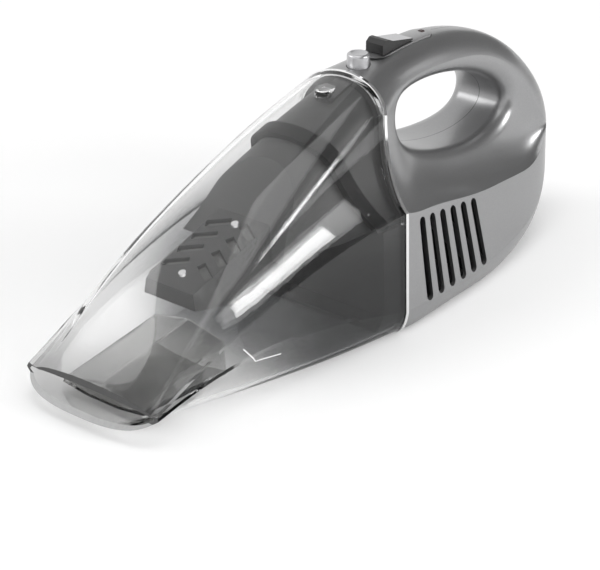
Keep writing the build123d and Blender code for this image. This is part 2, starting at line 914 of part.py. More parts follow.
with BuildPart() as housing_right:
    add(right_blank.part)
    with BuildSketch(Plane.XZ):
        with Locations(*screw_places):
            Circle(screw_shank_radius + screw_fit)
    extrude(amount=-screw_half_length, mode=Mode.SUBTRACT)
    with BuildSketch(Plane.XZ.offset(-screw_half_length)):
        with Locations(*screw_places):
            Circle(screw_head_radius + head_fit)
    extrude(amount=-2 * wall_half, mode=Mode.SUBTRACT)
housing_right.part.label = "housing_right"
export_step(housing_right.part, "parts/housing_right.step")

with BuildPart() as housing_left:
    mirror(right_blank.part, about=Plane.XZ)
    with BuildSketch(Plane.XZ):
        with Locations(*screw_places):
            Circle(screw_shank_radius + screw_fit)
    extrude(amount=screw_half_length + screw_fit, mode=Mode.SUBTRACT)
housing_left.part.label = "housing_left"
export_step(housing_left.part, "parts/housing_left.step")


# Fan, motor and the pieces that turn with them, all on one line along X
def disc(x, length, outer, inner):
    """Disc or tube on the motor line, from x towards the tail."""
    with BuildPart() as form:
        with BuildSketch(Plane.YZ.offset(x)):
            with Locations((0, motor_height)):
                Circle(outer)
                if inner > 0:
                    Circle(inner, mode=Mode.SUBTRACT)
        extrude(amount=length)
    return form.part


with BuildPart() as air_housing:
    add(disc(at(fan_back), can_front_x - at(fan_back), air_radius, 0.0))
    fan_room = fan_depth + 2 * fan_clearance
    add(disc(fan_front_x - fan_clearance, fan_room, air_radius - air_wall, 0.0), mode=Mode.SUBTRACT)
    add(disc(at(fan_back), air_wall, air_eye_radius, 0.0), mode=Mode.SUBTRACT)
    add(disc(can_front_x - air_wall, air_wall, fan_hub_radius, 0.0), mode=Mode.SUBTRACT)
    with BuildSketch(Plane.YZ.offset(fan_front_x)):
        with Locations((0, motor_height)):
            with PolarLocations(air_radius - air_wall / 2, outlet_count):
                Rectangle(4 * air_wall, outlet_width)
    extrude(amount=fan_depth, mode=Mode.SUBTRACT)
air_housing.part.label = "air_housing"
export_step(air_housing.part, "parts/air_housing.step")

with BuildSketch() as blade:
    with BuildLine():
        ThreePointArc(
            (fan_hub_radius - blade_thickness, 0),
            (fan_radius / 2, fan_radius / 6),
            (fan_radius - 2 * blade_thickness, -fan_radius / 6),
        )
    trace(line_width=blade_thickness)

with BuildPart() as fan:
    add(disc(fan_rear_x - fan_disc, fan_disc, fan_radius, 0.0))
    add(disc(fan_front_x + nut_length / 2, fan_depth - nut_length / 2, fan_hub_radius, 0.0))
    with BuildSketch(Plane.YZ.offset(fan_front_x)):
        with Locations((0, motor_height)):
            with PolarLocations(0, blade_count):
                add(blade.sketch)
    extrude(amount=fan_depth - fan_disc)
    add(disc(fan_front_x, fan_depth, shaft_radius + screw_fit, 0.0), mode=Mode.SUBTRACT)
    add(disc(fan_front_x, nut_length / 2, fan_hub_radius, 0.0), mode=Mode.SUBTRACT)
fan.part.label = "fan"
export_step(fan.part, "parts/fan.step")

nut_front_x = fan_front_x + nut_length / 2 - nut_length
with BuildPart() as fan_nut:
    with BuildSketch(Plane.YZ.offset(nut_front_x)):
        with Locations((0, motor_height)):
            RegularPolygon(nut_radius, 6)
            Circle(shaft_radius + screw_fit, mode=Mode.SUBTRACT)
    extrude(amount=nut_length)
fan_nut.part.label = "fan_nut"
export_step(fan_nut.part, "parts/fan_nut.step")

with BuildPart() as motor_shaft:
    add(disc(nut_front_x - shaft_radius, cap_rear_x - nut_front_x, shaft_radius, 0.0))
motor_shaft.part.label = "motor_shaft"
export_step(motor_shaft.part, "parts/motor_shaft.step")

armature_x = can_front_x + (motor_length - armature_length - commutator_length) / 2
with BuildPart() as armature:
    with BuildSketch(Plane.YZ.offset(armature_x)):
        with Locations((0, motor_height)):
            Circle(armature_radius)
            Circle(shaft_radius + screw_fit, mode=Mode.SUBTRACT)
            with PolarLocations(armature_radius, pole_count):
                Rectangle(armature_radius, 2 * can_wall, mode=Mode.SUBTRACT)
    extrude(amount=armature_length)
armature.part.label = "armature"
export_step(armature.part, "parts/armature.step")

with BuildPart() as commutator:
    add(disc(armature_x + armature_length, commutator_length, commutator_radius, shaft_radius + screw_fit))
commutator.part.label = "commutator"
export_step(commutator.part, "parts/commutator.step")

# Brushes press on the commutator from above and below
brush_x = armature_x + armature_length + commutator_length / 2
with BuildPart() as carbon_brushes:
    for side in (-1, 1):
        brush_middle = commutator_radius + shaft_fit + brush_length / 2
        with Locations((brush_x, 0, motor_height + side * brush_middle)):
            Box(brush_width, brush_width, brush_length)
    add(disc(brush_x - brush_width, 2 * brush_width, commutator_radius + shaft_fit, 0.0), mode=Mode.SUBTRACT)
carbon_brushes.part.label = "carbon_brushes"
export_step(carbon_brushes.part, "parts/carbon_brushes.step")

with BuildPart() as motor_can:
    add(disc(can_front_x, motor_length, motor_radius, 0.0))
    add(disc(can_front_x + can_wall, motor_length, motor_radius - can_wall, 0.0), mode=Mode.SUBTRACT)
    add(disc(can_front_x, can_wall, shaft_radius + shaft_fit, 0.0), mode=Mode.SUBTRACT)
motor_can.part.label = "motor_can"
export_step(motor_can.part, "parts/motor_can.step")

magnet_outer = motor_radius - can_wall - shaft_fit
with BuildPart() as field_magnets:
    with BuildSketch(Plane.YZ.offset(armature_x)):
        with Locations((0, motor_height)):
            Circle(magnet_outer)
            Circle(armature_radius + magnet_gap, mode=Mode.SUBTRACT)
            Rectangle(2 * motor_radius, armature_radius, mode=Mode.SUBTRACT)
    extrude(amount=armature_length)
field_magnets.part.label = "field_magnets"
export_step(field_magnets.part, "parts/field_magnets.step")

with BuildPart() as motor_end_cap:
    add(disc(can_rear_x, end_cap_length, motor_radius, shaft_radius + shaft_fit))
    chamfer(motor_end_cap.faces().sort_by(Axis.X)[-1].outer_wire().edges(), end_cap_length / 3)
motor_end_cap.part.label = "motor_end_cap"
export_step(motor_end_cap.part, "parts/motor_end_cap.step")

with BuildPart() as motor_mount:
    add(disc(mount_x - mount_width / 2, mount_width, mount_radius, motor_radius + shaft_fit))
motor_mount.part.label = "motor_mount"
export_step(motor_mount.part, "parts/motor_mount.step")

# Battery: five cells across the tail, held between two plates
with BuildPart() as battery_cells:
    with BuildSketch(Plane.XZ):
        with Locations(*cell_places):
            Circle(cell_radius)
    extrude(amount=cell_length / 2, both=True)
battery_cells.part.label = "battery_cells"
export_step(battery_cells.part, "parts/battery_cells.step")

bar_place = (first_cell_x + cell_pitch / 2, first_cell_z + (cell_pitch + cell_step) / 2)
plate_start = cell_length / 2 + cradle_fit
with BuildPart() as battery_cradle:
    for side in (-1, 1):
        with BuildSketch(Plane.XZ.offset(side * plate_start)):
            with Locations(*cell_places):
                Circle(cell_radius + cradle_rim)
            make_hull()
        extrude(amount=side * cradle_plate)
    with BuildSketch(Plane.XZ):
        with Locations(bar_place):
            Circle(cradle_bar_radius)
    extrude(amount=plate_start + cradle_plate / 2, both=True)
battery_cradle.part.label = "battery_cradle"
export_step(battery_cradle.part, "parts/battery_cradle.step")

with BuildPart() as charging_socket:
    with BuildSketch(Plane.YZ.offset(tail_x)):
        with Locations((0, socket_height)):
            Circle(socket_radius)
    extrude(amount=-socket_length)
    with BuildSketch(Plane.YZ.offset(tail_x)):
        with Locations((0, socket_height)):
            Circle(socket_bore)
    extrude(amount=-socket_depth, mode=Mode.SUBTRACT)
charging_socket.part.label = "charging_socket"
export_step(charging_socket.part, "parts/charging_socket.step")

# Controls on top of the handle
stem_low = switch_top - switch_slot + control_fit

with BuildPart() as switch_body:
    with Locations((slot_middle_x, 0, switch_low)):
        Box(switch_length, 2 * switch_half, switch_height, align=(Align.CENTER, Align.CENTER, Align.MIN))
    with Locations((slot_middle_x, 0, switch_top - switch_slot)):
        Box(
            slot_run,
            2 * slot_half,
            switch_height,
            align=(Align.CENTER, Align.CENTER, Align.MIN),
            mode=Mode.SUBTRACT,
        )
switch_body.part.label = "switch_body"
export_step(switch_body.part, "parts/switch_body.step")

with BuildPart() as switch_plate:
    add(plate_prism(0.0))
    add(housing_form(-plate_rise), mode=Mode.INTERSECT)
    add(housing_form(plate_sink - control_fit / 3), mode=Mode.SUBTRACT)
    with Locations((slot_middle_x, 0, handle_top(slot_middle_x))):
        Box(slot_run, 2 * slot_half, 2 * slider_rise, mode=Mode.SUBTRACT)
    with Locations((lamp_x, 0, handle_top(lamp_x))):
        Cylinder(lamp_radius + control_fit / 3, slider_rise, mode=Mode.SUBTRACT)
switch_plate.part.label = "switch_plate"
export_step(switch_plate.part, "parts/switch_plate.step")

knob_front = slider_x - slider_length / 2
knob_rear = slider_x + slider_length / 2
knob_low = handle_top(slider_x) - slider_rise / 2
knob_high = handle_top(slider_x) + plate_rise + slider_rise
with BuildPart() as power_slider:
    with BuildSketch(Plane.XZ):
        with BuildLine():
            Polyline(
                (knob_rear, knob_low),
                (knob_front, knob_low),
                (knob_front, knob_high - slider_rise / 3),
                (knob_front + slider_length / 10, knob_high),
                (knob_front + slider_length / 5, knob_high),
                (knob_front + slider_length / 3, knob_high - slider_rise / 4),
                (knob_rear, knob_high - slider_rise * 3 / 4),
                close=True,
            )
        make_face()
    extrude(amount=slider_half, both=True)
    fillet(power_slider.edges().filter_by(Axis.Y).group_by(Axis.Z)[-1], slider_rise / 8)
    add(housing_form(-plate_rise - control_fit), mode=Mode.SUBTRACT)
    with Locations((stem_x, 0, stem_low)):
        Box(
            stem_length,
            2 * stem_half,
            stem_top - stem_low,
            align=(Align.CENTER, Align.CENTER, Align.MIN),
        )
power_slider.part.label = "power_slider"
export_step(power_slider.part, "parts/power_slider.step")

board_top = handle_top(lamp_x) - housing_wall - board_drop
with BuildPart() as circuit_board:
    with Locations((lamp_x + board_overhang, 0, board_top)):
        Box(board_length, 2 * board_half, board_thickness, align=(Align.MAX, Align.CENTER, Align.MAX))
circuit_board.part.label = "circuit_board"
export_step(circuit_board.part, "parts/circuit_board.step")

with BuildPart() as indicator_lens:
    with Locations((lamp_x, 0, board_top)):
        Cylinder(
            lamp_radius,
            handle_top(lamp_x) + plate_rise + lamp_rise - board_top,
            align=(Align.CENTER, Align.CENTER, Align.MIN),
        )
    fillet(indicator_lens.edges().sort_by(Axis.Z)[-1], lamp_radius / 2)
indicator_lens.part.label = "indicator_lens"
export_step(indicator_lens.part, "parts/indicator_lens.step")

with BuildPart() as release_button:
    with Locations((button_x, 0, button_low)):
        Cylinder(button_radius, button_top - button_low, align=(Align.CENTER, Align.CENTER, Align.MIN))
    fillet(release_button.edges().sort_by(Axis.Z)[-1], button_radius / 4)
    with Locations((button_x, 0, button_top + button_dish_radius - button_dish_depth)):
        Sphere(button_dish_radius, mode=Mode.SUBTRACT)
    with Locations((button_x, 0, button_low)):
        Cylinder(
            button_radius + button_flange,
            button_flange_thickness,
            align=(Align.CENTER, Align.CENTER, Align.MIN),
        )
release_button.part.label = "release_button"
export_step(release_button.part, "parts/release_button.step")

# Latch tongue: a springy strip with a hook that catches in the container's boss
tongue_front_x = boss_x - hook_length / 2
with BuildPart() as latch_tongue:
    with BuildSketch(Plane.XZ):
        with BuildLine():
            Polyline(
                (tongue_front_x, tongue_front_top),
                (tongue_joint_x, tongue_joint_top),
                (tongue_rear_x, tongue_rear_top),
                (tongue_rear_x, tongue_rear_top - tongue_thickness),
                (tongue_joint_x, tongue_joint_top - tongue_thickness),
                (tongue_front_x, tongue_front_top - tongue_thickness),
                close=True,
            )
        make_face()
    extrude(amount=tongue_half, both=True)
    with Locations((boss_x, 0, hook_top)):
        Box(
            hook_length,
            2 * hook_half,
            hook_top - tongue_front_top,
            align=(Align.CENTER, Align.CENTER, Align.MAX),
        )
latch_tongue.part.label = "latch_tongue"
export_step(latch_tongue.part, "parts/latch_tongue.step")

# Case screws, put in from the right
with BuildPart() as case_screws:
    with BuildSketch(Plane.XZ):
        with Locations(*screw_places):
            Circle(screw_shank_radius)
    extrude(amount=screw_half_length, both=True)
    with BuildSketch(Plane.XZ.offset(-screw_half_length)):
        with Locations(*screw_places):
            Circle(screw_head_radius)
    extrude(amount=-screw_head_height)
case_screws.part.label = "case_screws"
export_step(case_screws.part, "parts/case_screws.step")
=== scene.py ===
import math

import bpy
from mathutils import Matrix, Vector
from mathutils.bvhtree import BVHTree


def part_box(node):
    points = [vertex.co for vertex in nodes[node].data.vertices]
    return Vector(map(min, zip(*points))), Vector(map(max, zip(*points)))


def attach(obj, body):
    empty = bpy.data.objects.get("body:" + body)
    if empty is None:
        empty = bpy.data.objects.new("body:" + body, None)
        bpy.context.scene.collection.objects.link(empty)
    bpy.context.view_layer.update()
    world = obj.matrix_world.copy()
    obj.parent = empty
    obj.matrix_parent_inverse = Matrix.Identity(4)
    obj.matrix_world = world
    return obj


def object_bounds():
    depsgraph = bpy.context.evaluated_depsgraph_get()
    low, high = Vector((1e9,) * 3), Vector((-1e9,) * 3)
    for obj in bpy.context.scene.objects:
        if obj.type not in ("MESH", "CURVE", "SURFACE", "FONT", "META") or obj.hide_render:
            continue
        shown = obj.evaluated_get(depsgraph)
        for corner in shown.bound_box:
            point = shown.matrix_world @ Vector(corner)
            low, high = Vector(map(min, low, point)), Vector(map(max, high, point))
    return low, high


# A cordless handheld vacuum on a pale floor. Sizes are in metres, angles in degrees.
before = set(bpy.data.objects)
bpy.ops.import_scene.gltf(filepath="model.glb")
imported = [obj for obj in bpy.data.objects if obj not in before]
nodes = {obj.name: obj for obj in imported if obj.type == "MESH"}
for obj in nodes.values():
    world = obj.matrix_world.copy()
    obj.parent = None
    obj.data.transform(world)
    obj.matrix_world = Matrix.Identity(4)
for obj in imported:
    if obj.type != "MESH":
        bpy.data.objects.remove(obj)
cad_low, cad_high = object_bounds()

MM = 0.001
WHITE = (1.0, 1.0, 1.0, 1.0)

# Camera, fitted to the photograph's outline
CAMERA_AZIMUTH = -49.63
CAMERA_ELEVATION = 25.61
CAMERA_DISTANCE = 1.2
CAMERA_TARGET = Vector((-0.0163, 0.0003, 0.0145))
CAMERA_LENS = 138.7
SENSOR_WIDTH = 36.0

# Lamps, which all look at one point: name, place, size and power
LAMP_TARGET = (0.0, 0.0, 0.05)
LAMPS = (
    ("window", (0.58, -1.28, 0.57), (0.5, 0.28), 6.0),
    ("window_glow", (0.6, -1.3, 0.58), (0.8, 0.5), 4.0),
    ("top", (-0.1, -0.1, 1.6), (1.0, 1.0), 5.0),
    ("back", (-0.9, 1.1, 1.1), (1.2, 0.8), 8.0),
)

# Grey panels that only show in reflections: name, place, target and size
CARDS = (
    ("card_right", (1.57, -0.33, 1.1), (0.0, 0.0, 1.1), (2.5, 2.3)),
    ("card_front", (0.2, -1.9, 1.1), (0.0, 0.0, 1.1), (3.4, 2.3)),
    ("card_above", (0.6, -0.6, 2.4), (0.6, -0.6, 0.0), (2.4, 2.4)),
)
CARD_GREY = 0.2
CARD_LIGHT = 1.5 * CARD_GREY
CARD_CLOUD_SCALE = 2.0

# Floor and surround; the floor glows more away from the object, so that it stays white
SKY_STRENGTH = 0.62
FLOOR_SIZE = 6.0
FLOOR_DROP = 0.1 * MM
FLOOR_WHITE = 0.93
FLOOR_LIGHT = FLOOR_WHITE + 0.01
FLOOR_CLOUD_SCALE = 3.0
FLOOR_GLOW = 0.06
FAR_GLOW = 0.4
GLOW_START = 0.4
GLOW_END = 2.0
MATT = 0.9

# Places on a noise at which a finish has its dark and its light shade
DARK_STOP = 0.3
LIGHT_STOP = 0.7

# Noises that several finishes share, and the height of the plain finishes' grain
MOTTLE_DETAIL = 3.0
CLOUD_DETAIL = 2.0
WEAR_DETAIL = 4.0
WEAR_SCALE = 60.0
GRAIN_HEIGHT = 0.2 * MM

# Silver paint: its flakes, and the clear coat over them
FLAKE_SCALE = 3500.0
FLAKE_DETAIL = 2.0
FLAKE_RELIEF = 0.04
FLAKE_HEIGHT = 0.1 * MM
PAINT_WEAR_SCALE = 45.0
PAINT_ROUGH = (0.3, 0.38)
PAINT_METALLIC = 0.9
PAINT_COAT = 0.25
PAINT_COAT_ROUGH = 0.12

# Felted filter cloth, kept very dark so that it also paints the shade inside the filter's slots
FELT_DARK = (0.06, 0.06, 0.058)
FELT_LIGHT = (0.1, 0.1, 0.097)
FELT_RELIEF = 0.5
FELT_HEIGHT = 0.4 * MM
FELT_ROUGH = 0.95
FELT_SHEEN = 0.3
FIBRE_SCALE = 1400.0
FIBRE_DETAIL = 6.0
FIBRE_ROUGHNESS = 0.7

# Smoked container: clear along the top and at the nozzle, with painted shade that darkens it low
# down towards the joint
SMOKE_CLEAR = (0.9, 0.9, 0.9)
SMOKE_SHADE = (0.28, 0.285, 0.29)
SHADE_START_X = -0.105
SHADE_END_X = -0.045
SHADE_START_Z = 0.085
SHADE_END_Z = 0.03
SMOKE_ROUGH = 0.02
SMOKE_ROUGH_SPREAD = 1.6
SMOKE_CLOUD_SCALE = 25.0
SMOKE_IOR = 1.15
SMOKE_COAT_IOR = 1.36
SMOKE_COAT_ROUGH = 0.03

# Duct behind the mouth, of the same plastic and with the same painted shade
DUCT_CLEAR = (0.62, 0.62, 0.61)
DUCT_SHADE = (0.45, 0.45, 0.445)
DUCT_ROUGH = 0.06

# Share of the tinted lamplight that the clear plastic lets through into its shadow
SHADOW_SHARE = 0.9

# Painted shade at the nozzle's tip, which darkens the tint there
TIP_START_X = -0.13
TIP_END_X = -0.17
TIP_SHADE = 0.68

# Fill mark on the container's near wall, as (x, z) places, and the width of its line
MARK_PLACES = ((-0.1135, 0.0308), (-0.1064, 0.022), (-0.0888, 0.0195))
MARK_WIDTH = 0.0007
MARK_STEPS = 12
MARK_LIFT = 0.03 * MM
MARK_RAY_Y = -0.2

# Inside of the housing, painted near-black as shade: a face that sees out in fewer ways than this
# lies inside
INSIDE_WAYS = 2
RAY_LIFT = 0.2 * MM

# Painted reflection on the slider's glossy black top: the nose's share of its length, and how far
# up a face looks
NOSE_SHARE = 0.3
CAP_FACING = 0.6

# Mouth, whose cut faces get painted light and shade: its depth from the lower lip to the upper one,
# and how far ahead their cut faces look
MOUTH_DEPTH = 0.016
UPPER_LIP_FACING = 0.8
LOWER_LIP_FACING = (0.45, 0.6)
LIP_SIDE_LIMIT = 0.05
LIP_PLANE_SLACK = 0.05 * MM

# Flange of the filter, which leans towards the nozzle
SEAL_TILT = 21.0
FLANGE_THICKNESS = 0.0026
FLANGE_SLACK = 0.1 * MM
FLANGE_FOOT = 1.5 * MM

# Parting seam: a thin tube sunk into the shells, left out near the ground
SEAM_RADIUS = 0.00028
SEAM_SINK = 0.85
SEAM_FACING = 0.99
SEAM_SLACK = 0.01 * MM
SEAM_FOOT = 2 * MM
PLACE_DIGITS = 6


def material(name):
    """A new node material; gives the material, its tree and its surface shader."""
    made = bpy.data.materials.new(name)
    made.use_nodes = True
    tree = made.node_tree
    return made, tree, tree.nodes["Principled BSDF"]


def noise(tree, scale, detail, roughness=0.5):
    """Noise over the object's own coordinates."""
    place = tree.nodes.new("ShaderNodeTexCoord")
    texture = tree.nodes.new("ShaderNodeTexNoise")
    texture.inputs["Scale"].default_value = scale
    texture.inputs["Detail"].default_value = detail
    texture.inputs["Roughness"].default_value = roughness
    tree.links.new(place.outputs["Object"], texture.inputs["Vector"])
    return texture.outputs["Fac"]


def ramp(tree, source, stops):
    """Colour ramp over a value, from two (place, grey or colour) stops."""
    node = tree.nodes.new("ShaderNodeValToRGB")
    for element, (place, colour) in zip(node.color_ramp.elements, stops):
        element.position = place
        rgb = colour if hasattr(colour, "__len__") else (colour, colour, colour)
        element.color = (*rgb, 1.0)
    tree.links.new(source, node.inputs["Fac"])
    return node.outputs["Color"]


def two_shades(tree, source, dark, light):
    """Colour that goes from a dark to a light shade over a noise."""
    return ramp(tree, source, ((DARK_STOP, dark), (LIGHT_STOP, light)))


def spread(tree, source, low, high):
    """A value between low and high, driven by a source from 0 to 1."""
    node = tree.nodes.new("ShaderNodeMapRange")
    node.inputs["To Min"].default_value = low
    node.inputs["To Max"].default_value = high
    tree.links.new(source, node.inputs["Value"])
    return node.outputs["Result"]


def bump(tree, shader, source, strength, distance):
    """Surface relief from a height source."""
    node = tree.nodes.new("ShaderNodeBump")
    node.inputs["Strength"].default_value = strength
    node.inputs["Distance"].default_value = distance
    tree.links.new(source, node.inputs["Height"])
    tree.links.new(node.outputs["Normal"], shader.inputs["Normal"])


def plain_finish(name, dark, light, rough, metallic, grain, relief, gloss=0.5):
    """Moulded or turned surface: two shades, uneven roughness and a fine grain."""
    made, tree, shader = material(name)
    mottle = noise(tree, grain, MOTTLE_DETAIL)
    tree.links.new(two_shades(tree, mottle, dark, light), shader.inputs["Base Color"])
    wear = noise(tree, WEAR_SCALE, WEAR_DETAIL)
    tree.links.new(spread(tree, wear, *rough), shader.inputs["Roughness"])
    bump(tree, shader, mottle, relief, GRAIN_HEIGHT)
    shader.inputs["Metallic"].default_value = metallic
    shader.inputs["Specular IOR Level"].default_value = gloss
    return made


def silver_paint(name, dark, light):
    """Silver metallic paint: fine flakes under a thin clear coat."""
    made, tree, shader = material(name)
    flakes = noise(tree, FLAKE_SCALE, FLAKE_DETAIL)
    tree.links.new(two_shades(tree, flakes, dark, light), shader.inputs["Base Color"])
    wear = noise(tree, PAINT_WEAR_SCALE, WEAR_DETAIL)
    tree.links.new(spread(tree, wear, *PAINT_ROUGH), shader.inputs["Roughness"])
    bump(tree, shader, flakes, FLAKE_RELIEF, FLAKE_HEIGHT)
    shader.inputs["Metallic"].default_value = PAINT_METALLIC
    shader.inputs["Coat Weight"].default_value = PAINT_COAT
    shader.inputs["Coat Roughness"].default_value = PAINT_COAT_ROUGH
    return made


def depth_share(tree, axis, start, end):
    """Smooth share of the way between two places on an axis of the object."""
    place = tree.nodes.new("ShaderNodeTexCoord")
    parts = tree.nodes.new("ShaderNodeSeparateXYZ")
    tree.links.new(place.outputs["Object"], parts.inputs["Vector"])
    share = tree.nodes.new("ShaderNodeMapRange")
    share.interpolation_type = "SMOOTHSTEP"
    share.inputs["From Min"].default_value = start
    share.inputs["From Max"].default_value = end
    tree.links.new(parts.outputs[axis], share.inputs["Value"])
    return share.outputs["Result"]


def smoked_clear(name, tint, shaded, rough):
    """Grey-tinted clear plastic, with painted shade that deepens it by the joint and the tip; lets
    lamplight through.
    """
    made, tree, shader = material(name)
    cloud = noise(tree, SMOKE_CLOUD_SCALE, CLOUD_DETAIL)
    # painted shade: the tint darkens towards the joint and low down
    along = depth_share(tree, "X", SHADE_START_X, SHADE_END_X)
    down = depth_share(tree, "Z", SHADE_START_Z, SHADE_END_Z)
    both = tree.nodes.new("ShaderNodeMath")
    both.operation = "MULTIPLY"
    tree.links.new(along, both.inputs[0])
    tree.links.new(down, both.inputs[1])
    # painted shade: the tint darkens towards the nozzle's tip
    ahead = depth_share(tree, "X", TIP_START_X, TIP_END_X)
    tip = ramp(tree, ahead, ((0.0, 1.0), (1.0, TIP_SHADE)))
    shade = tree.nodes.new("ShaderNodeMix")
    shade.data_type = "RGBA"
    shade.blend_type = "MULTIPLY"
    shade.inputs["Factor"].default_value = 1.0
    # painted shade: ramp from the clear tint to the shaded one
    painted_shade = ramp(tree, both.outputs["Value"], ((0.0, tint), (1.0, shaded)))
    tree.links.new(painted_shade, shade.inputs["A"])
    tree.links.new(tip, shade.inputs["B"])
    tree.links.new(shade.outputs["Result"], shader.inputs["Base Color"])
    uneven = spread(tree, cloud, rough, rough * SMOKE_ROUGH_SPREAD)
    tree.links.new(uneven, shader.inputs["Roughness"])
    shader.inputs["Transmission Weight"].default_value = 1.0
    shader.inputs["IOR"].default_value = SMOKE_IOR
    shader.inputs["Coat Weight"].default_value = 1.0
    shader.inputs["Coat IOR"].default_value = SMOKE_COAT_IOR
    shader.inputs["Coat Roughness"].default_value = SMOKE_COAT_ROUGH
    path = tree.nodes.new("ShaderNodeLightPath")
    clear = tree.nodes.new("ShaderNodeBsdfTransparent")
    clear.inputs["Color"].default_value = (*(SHADOW_SHARE * value for value in tint), 1.0)
    mix = tree.nodes.new("ShaderNodeMixShader")
    tree.links.new(path.outputs["Is Shadow Ray"], mix.inputs["Fac"])
    tree.links.new(shader.outputs["BSDF"], mix.inputs[1])
    tree.links.new(clear.outputs["BSDF"], mix.inputs[2])
    tree.links.new(mix.outputs["Shader"], tree.nodes["Material Output"].inputs["Surface"])
    return made


def felt():
    """Felted filter cloth: soft mottled fibres, kept very dark as painted shade in the filter's
    slots.
    """
    made, tree, shader = material("filter_cloth")
    fibres = noise(tree, FIBRE_SCALE, FIBRE_DETAIL, FIBRE_ROUGHNESS)
    tree.links.new(two_shades(tree, fibres, FELT_DARK, FELT_LIGHT), shader.inputs["Base Color"])
    bump(tree, shader, fibres, FELT_RELIEF, FELT_HEIGHT)
    shader.inputs["Roughness"].default_value = FELT_ROUGH
    shader.inputs["Sheen Weight"].default_value = FELT_SHEEN
    return made


# Finishes: dark shade, light shade, roughness range, metallic, grain, relief and gloss
silver = silver_paint("silver_paint", (0.28, 0.28, 0.283), (0.35, 0.35, 0.354))
# pale silver: the release button's own colour, and a painted reflection on the slider's top
pale_silver_and_reflection = silver_paint("pale_silver_and_reflection", (0.42, 0.42, 0.43), (0.54, 0.54, 0.55))
smoke = smoked_clear("smoked_clear", SMOKE_CLEAR, SMOKE_SHADE, SMOKE_ROUGH)
# painted shade on the mouth's upper lip and painted light on its lower lip
lip_painted_shade = plain_finish("lip_painted_shade", 0.06, 0.075, (0.15, 0.25), 0.0, 900.0, 0.01)
lip_painted_light = plain_finish("lip_painted_light", 0.36, 0.42, (0.15, 0.25), 0.0, 900.0, 0.01)
duct_smoke = smoked_clear("duct_smoke", DUCT_CLEAR, DUCT_SHADE, DUCT_ROUGH)
chrome = plain_finish("chrome", 0.78, 0.84, (0.06, 0.1), 1.0, 900.0, 0.01)
dark_grey = plain_finish("dark_grey_plastic", 0.032, 0.038, (0.38, 0.48), 0.0, 2500.0, 0.015, 0.25)
filter_grey = plain_finish("filter_grey", 0.04, 0.047, (0.42, 0.55), 0.0, 2500.0, 0.015, 0.25)
black = plain_finish("black_plastic", 0.008, 0.014, (0.34, 0.46), 0.0, 1500.0, 0.1)
# painted shade: near-black finish for the faces inside the housing, where light hardly reaches
inside_shade = plain_finish("housing_inside_shade", 0.015, 0.03, (0.6, 0.7), 0.0, 900.0, 0.1)
rubber = plain_finish("black_rubber", 0.003, 0.005, (0.55, 0.7), 0.0, 2500.0, 0.04, 0.05)
steel = plain_finish("steel", 0.5, 0.62, (0.2, 0.32), 1.0, 700.0, 0.05)
bright_peg = plain_finish("bright_peg", 0.75, 0.85, (0.08, 0.14), 1.0, 700.0, 0.02)
copper = plain_finish(
    "copper", (0.6, 0.28, 0.14), (0.75, 0.38, 0.22), (0.2, 0.35), 1.0, 600.0, 0.05
)
carbon = plain_finish("carbon", 0.02, 0.04, (0.5, 0.7), 0.0, 2200.0, 0.2)
magnet = plain_finish("magnet", 0.03, 0.05, (0.5, 0.65), 0.3, 1800.0, 0.2)
sleeve = plain_finish(
    "cell_sleeve", (0.02, 0.13, 0.06), (0.03, 0.17, 0.08), (0.25, 0.35), 0.0, 400.0, 0.03
)
board = plain_finish("board", (0.01, 0.1, 0.04), (0.015, 0.14, 0.05), (0.3, 0.45), 0.0, 900.0, 0.05)
lamp = plain_finish(
    "lamp_window", (0.02, 0.004, 0.004), (0.03, 0.006, 0.006), (0.08, 0.14), 0.0, 500.0, 0.01
)
seam_dark = plain_finish("seam_dark", 0.02, 0.03, (0.5, 0.6), 0.0, 900.0, 0.05)
mark_white = plain_finish("mark_white", 0.82, 0.88, (0.4, 0.5), 0.0, 900.0, 0.02)
cloth = felt()

FINISHES = {
    "housing_left": silver,
    "housing_right": silver,
    "switch_plate": silver,
    "release_button": pale_silver_and_reflection,
    "dust_container": smoke,
    "inlet_duct": duct_smoke,
    "trim_ring": chrome,
    "front_bulkhead": dark_grey,
    "filter_frame": filter_grey,
    "filter_seal": rubber,
    "filter_pegs": bright_peg,
    "filter_cloth": cloth,
    "air_housing": black,
    "fan": black,
    "fan_nut": steel,
    "motor_shaft": steel,
    "armature": steel,
    "commutator": copper,
    "carbon_brushes": carbon,
    "motor_can": steel,
    "field_magnets": magnet,
    "motor_end_cap": black,
    "motor_mount": rubber,
    "battery_cells": sleeve,
    "battery_cradle": black,
    "charging_socket": black,
    "switch_body": black,
    "power_slider": black,
    "circuit_board": board,
    "indicator_lens": lamp,
    "latch_tongue": black,
    "case_screws": steel,
}

for name, finish in FINISHES.items():
    mesh = nodes[name].data
    mesh.materials.clear()
    mesh.materials.append(finish)


def paint_inside_shade(names, finish):
    """Paints shade: gives the faces that look into a closed space a second, near-black finish."""
    trees = [BVHTree.FromObject(nodes[n], bpy.context.evaluated_depsgraph_get()) for n in names]
    steps = (-1, 0, 1)
    ways = [
        Vector((x, y, z)).normalized()
        for x in steps for y in steps for z in steps if x or y or z
    ]
    for n in names:
        mesh = nodes[n].data
        mesh.materials.append(finish)
        for face in mesh.polygons:
            start = face.center + face.normal * RAY_LIFT
            free = 0
            for way in ways:
                if all(tree.ray_cast(start, way)[0] is None for tree in trees):
                    free += 1
                if free == INSIDE_WAYS:
                    break
            if free < INSIDE_WAYS:
                face.material_index = 1


# Painted shade on the inside of the housing
paint_inside_shade(("housing_left", "housing_right"), inside_shade)


